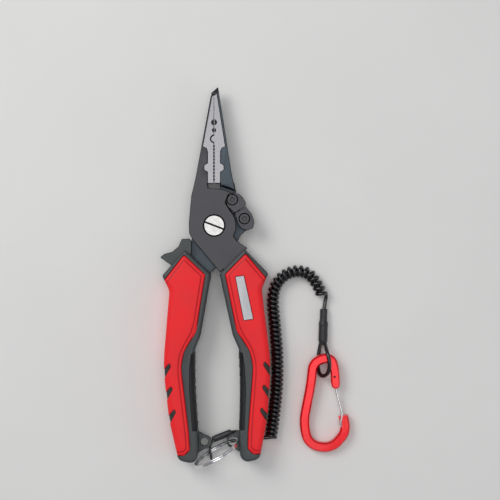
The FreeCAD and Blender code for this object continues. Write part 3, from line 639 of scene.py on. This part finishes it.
grip_red = new_material("grip_red", (0.94, 0.014, 0.020), 0.52, specular=0.35)
grip_shader = grip_red.node_tree.nodes["Principled BSDF"]
grip_shader.inputs["Subsurface Weight"].default_value = 0.05
grip_shader.inputs["Subsurface Scale"].default_value = 0.001
add_grain(grip_red, size=0.35, depth=0.00006, blotch=12.0, tone=0.06, rough=0.06)
# Painted shade: darker red along the crease.
painted_crease_shade(grip_red, (0.42, 0.004, 0.010))
for side in ("right", "left"):
    jacket = soft_jacket(side)
    finish_piece(jacket, f"{side}_grip_jacket", grip_red)


# ---- Inlays, inner pads and the badge ------------------------------------------------------------
# Dark rubber teeth show through the outer edge of each jacket; a black rubber pad with nine slanting
# ribs lines the inner side of each handle; a blank satin metal plate is glued into the right jacket.
inlay_rubber = new_material("inlay_rubber", (0.028, 0.028, 0.022), 0.60)
add_grain(inlay_rubber, size=0.25, depth=0.00008, blotch=4.0, tone=0.15, rough=0.08)
pad_rubber = new_material("pad_rubber", (0.009, 0.009, 0.011), 0.52)
add_grain(pad_rubber, size=0.3, depth=0.00008, blotch=5.0, tone=0.2, rough=0.08)
badge_metal = new_material("badge_metal", (0.33, 0.335, 0.35), 0.34, metallic=0.9)
add_grain(badge_metal, size=0.14, depth=0.00003, blotch=3.0, tone=0.10, rough=0.08, stretch=(1.0, 6.0))
PAD_RIB_LINE = [(0.01162, -0.0660), (0.01230, -0.0820), (0.01100, -0.1015)]
PAD_RIBS = {"Count": 9, "Radius": 0.0006, "Length": 0.0066, "Slant": math.radians(28)}
RIB_SIDES = 14


def rib_tree():
    """Slanting round ribs, evenly spaced along a curved line."""
    tree = bpy.data.node_groups.new("pad_ribs", "GeometryNodeTree")
    sockets = tree.interface
    for name in ("Start", "Middle", "End"):
        sockets.new_socket(name, in_out="INPUT", socket_type="NodeSocketVector")
    sockets.new_socket("Count", in_out="INPUT", socket_type="NodeSocketInt")
    for name in ("Radius", "Length", "Slant"):
        sockets.new_socket(name, in_out="INPUT", socket_type="NodeSocketFloat")
    sockets.new_socket("Material", in_out="INPUT", socket_type="NodeSocketMaterial")
    sockets.new_socket("Geometry", in_out="OUTPUT", socket_type="NodeSocketGeometry")
    link = tree.links.new
    given = tree.nodes.new("NodeGroupInput")
    out = tree.nodes.new("NodeGroupOutput")
    line = tree.nodes.new("GeometryNodeCurveQuadraticBezier")
    spots = tree.nodes.new("GeometryNodeCurveToPoints")
    rod = tree.nodes.new("GeometryNodeMeshCylinder")
    rod.inputs["Vertices"].default_value = RIB_SIDES
    slant = tree.nodes.new("ShaderNodeCombineXYZ")
    ribs = tree.nodes.new("GeometryNodeInstanceOnPoints")
    whole = tree.nodes.new("GeometryNodeRealizeInstances")
    finish = tree.nodes.new("GeometryNodeSetMaterial")
    for name in ("Start", "Middle", "End"):
        link(given.outputs[name], line.inputs[name])
    link(line.outputs["Curve"], spots.inputs["Curve"])
    link(given.outputs["Count"], spots.inputs["Count"])
    link(given.outputs["Radius"], rod.inputs["Radius"])
    link(given.outputs["Length"], rod.inputs["Depth"])
    link(given.outputs["Slant"], slant.inputs["X"])
    link(spots.outputs["Points"], ribs.inputs["Points"])
    link(rod.outputs["Mesh"], ribs.inputs["Instance"])
    link(slant.outputs[0], ribs.inputs["Rotation"])
    link(ribs.outputs["Instances"], whole.inputs["Geometry"])
    link(whole.outputs["Geometry"], finish.inputs["Geometry"])
    link(given.outputs["Material"], finish.inputs["Material"])
    link(finish.outputs["Geometry"], out.inputs["Geometry"])
    return tree


def grown_piece(name, tree, values):
    """The plain mesh that a tree makes from its named values."""
    piece = bpy.data.objects.new(name, bpy.data.meshes.new(name))
    bpy.context.scene.collection.objects.link(piece)
    grow = piece.modifiers.new("grow", "NODES")
    grow.node_group = tree
    for socket in tree.interface.items_tree:
        if socket.in_out == "INPUT":
            grow[socket.identifier] = values[socket.name]
    bpy.context.view_layer.update()
    seen = piece.evaluated_get(bpy.context.evaluated_depsgraph_get())
    mesh = bpy.data.meshes.new_from_object(seen)
    piece.modifiers.clear()
    piece.data = mesh
    mesh.name = name
    return piece


pad_ribs = rib_tree()
for side in ("right", "left"):
    middle = Vector((0, 0, GRIP_TOP / 2))
    ends = [tuple(on_handle(side, *corner) + middle) for corner in PAD_RIB_LINE]
    values = dict(PAD_RIBS, Start=ends[0], Middle=ends[1], End=ends[2], Material=pad_rubber)
    ribs = grown_piece(f"{side}_pad_ribs", pad_ribs, values)
    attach(ribs, frame["nodes"][f"{side}_inner_pad"]["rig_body"])
RUBBER_CHAMFER = 0.0002
BADGE_CHAMFER = 0.00022
for side in ("right", "left"):
    for part, rubber, slot in (("grip_inlays", inlay_rubber, "inlay_rubber"),
                               ("inner_pad", pad_rubber, "pad_rubber")):
        node_name = f"{side}_{part}"
        finish_piece(worked_copy(node_name, RUBBER_CHAMFER), node_name, rubber)
# The badge's broken edges take the painted edge shade.
badge = worked_copy("right_badge", BADGE_CHAMFER)
finish_piece(badge, "right_badge", badge_metal, painted_edge_shade)


# ---- Split ring ----------------------------------------------------------------------------------
# Two close turns of hard, plated wire, sprung open to thread it through the right handle's ear.
ring_wire = new_material("wire_steel", (0.78, 0.78, 0.79), 0.12, metallic=1.0)
add_grain(ring_wire, size=0.2, depth=0.00002, blotch=3.0, tone=0.06, rough=0.05)
finish_piece(worked_copy("split_ring"), "split_ring", ring_wire)


# ---- Carabiner -----------------------------------------------------------------------------------
# A forged aluminium bar with chamfered edges, anodised red, and a bent spring-wire gate on a pin.
anodised = new_material("anodised_red", (0.92, 0.010, 0.018), 0.24, metallic=0.50, coat=0.3)
add_grain(anodised, size=0.25, depth=0.000006, blotch=6.0, tone=0.06, rough=0.06)
for node_name, finish in (("carabiner_body", anodised), ("carabiner_gate", ring_wire)):
    frame["nodes"][node_name].data.materials.clear()
    frame["nodes"][node_name].data.materials.append(finish)
ferrule_metal = new_material("ferrule_metal", (0.6, 0.6, 0.6), 0.35, metallic=1.0)
add_grain(ferrule_metal, size=0.2, depth=0.00003)
for node_name in ("clip_ferrule", "ring_ferrule"):
    finish_piece(worked_copy(node_name, TURNED_CHAMFER), node_name, ferrule_metal)


# ---- Table and light -----------------------------------------------------------------------------
# A plain pale table and three soft panels: the main one high on the left, a wide one overhead and a
# weak one low on the right.
FLOOR_HALF = 1.5
FLOOR_DROP = 0.0002                     # keeps the table just clear of the tool's flat underside
corners = [(-FLOOR_HALF, -FLOOR_HALF, 0), (FLOOR_HALF, -FLOOR_HALF, 0),
           (FLOOR_HALF, FLOOR_HALF, 0), (-FLOOR_HALF, FLOOR_HALF, 0)]
floor_mesh = bpy.data.meshes.new("floor")
floor_mesh.from_pydata(corners, [], [(0, 1, 2, 3)])
floor = bpy.data.objects.new("floor", floor_mesh)
bpy.context.scene.collection.objects.link(floor)
floor.location = (0, 0, -FLOOR_DROP)
floor_paint = new_material("floor_paint", (0.82, 0.81, 0.79), 0.75)
add_grain(floor_paint, size=1.2, depth=0.00002, blotch=60.0, tone=0.015, rough=0.03)
floor_mesh.materials.append(floor_paint)


def soft_panel(name, place, size, power):
    """A square lamp that looks at the middle of the view."""
    lamp = bpy.data.lights.new(name, "AREA")
    lamp.shape = "SQUARE"
    lamp.size = size
    lamp.energy = power
    panel = bpy.data.objects.new(name, lamp)
    bpy.context.scene.collection.objects.link(panel)
    panel.location = VIEW_CENTRE + Vector(place)
    panel.rotation_euler = (-Vector(place)).to_track_quat("-Z", "Y").to_euler()


soft_panel("main_panel", place=(-0.55, 0.45, 0.75), size=0.5, power=4.2)
soft_panel("overhead_panel", place=(0.05, 0.05, 1.1), size=0.7, power=3.0)
soft_panel("low_panel", place=(0.8, -0.3, 0.35), size=0.4, power=0.6)

world = bpy.data.worlds.new("studio")
bpy.context.scene.world = world
world.use_nodes = True
backdrop = world.node_tree.nodes["Background"]
backdrop.inputs["Color"].default_value = (0.92, 0.95, 1.0, 1)
backdrop.inputs["Strength"].default_value = 0.30
bpy.context.scene.view_settings.view_transform = "Standard"
